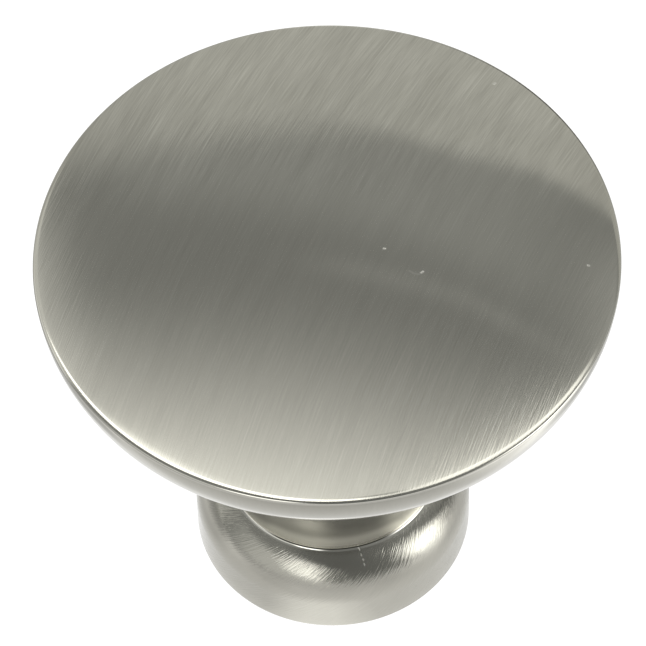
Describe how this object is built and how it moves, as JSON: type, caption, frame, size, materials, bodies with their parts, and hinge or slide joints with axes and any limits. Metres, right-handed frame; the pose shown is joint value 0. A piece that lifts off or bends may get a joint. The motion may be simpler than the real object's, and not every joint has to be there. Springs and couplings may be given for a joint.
{
  "type": "cabinet knob",
  "caption": "Round cabinet knob with a domed brushed face, a trumpet-shaped neck and a rounded foot, fixed by one screw into a blind tapped hole.",
  "frame": {"origin": "centre of the foot's flat underside, which sits on the door or drawer front", "axes": "+Z along the knob's axis, out of the door towards the face; the knob is round about Z"},
  "size_m": [0.032, 0.032, 0.028],
  "materials": {
    "satin_nickel": "satin nickel plate on cast zinc, brushed in straight lines on the face"
  },
  "bodies": {
    "root": {"knob": "satin_nickel"}
  },
  "joints": []
}
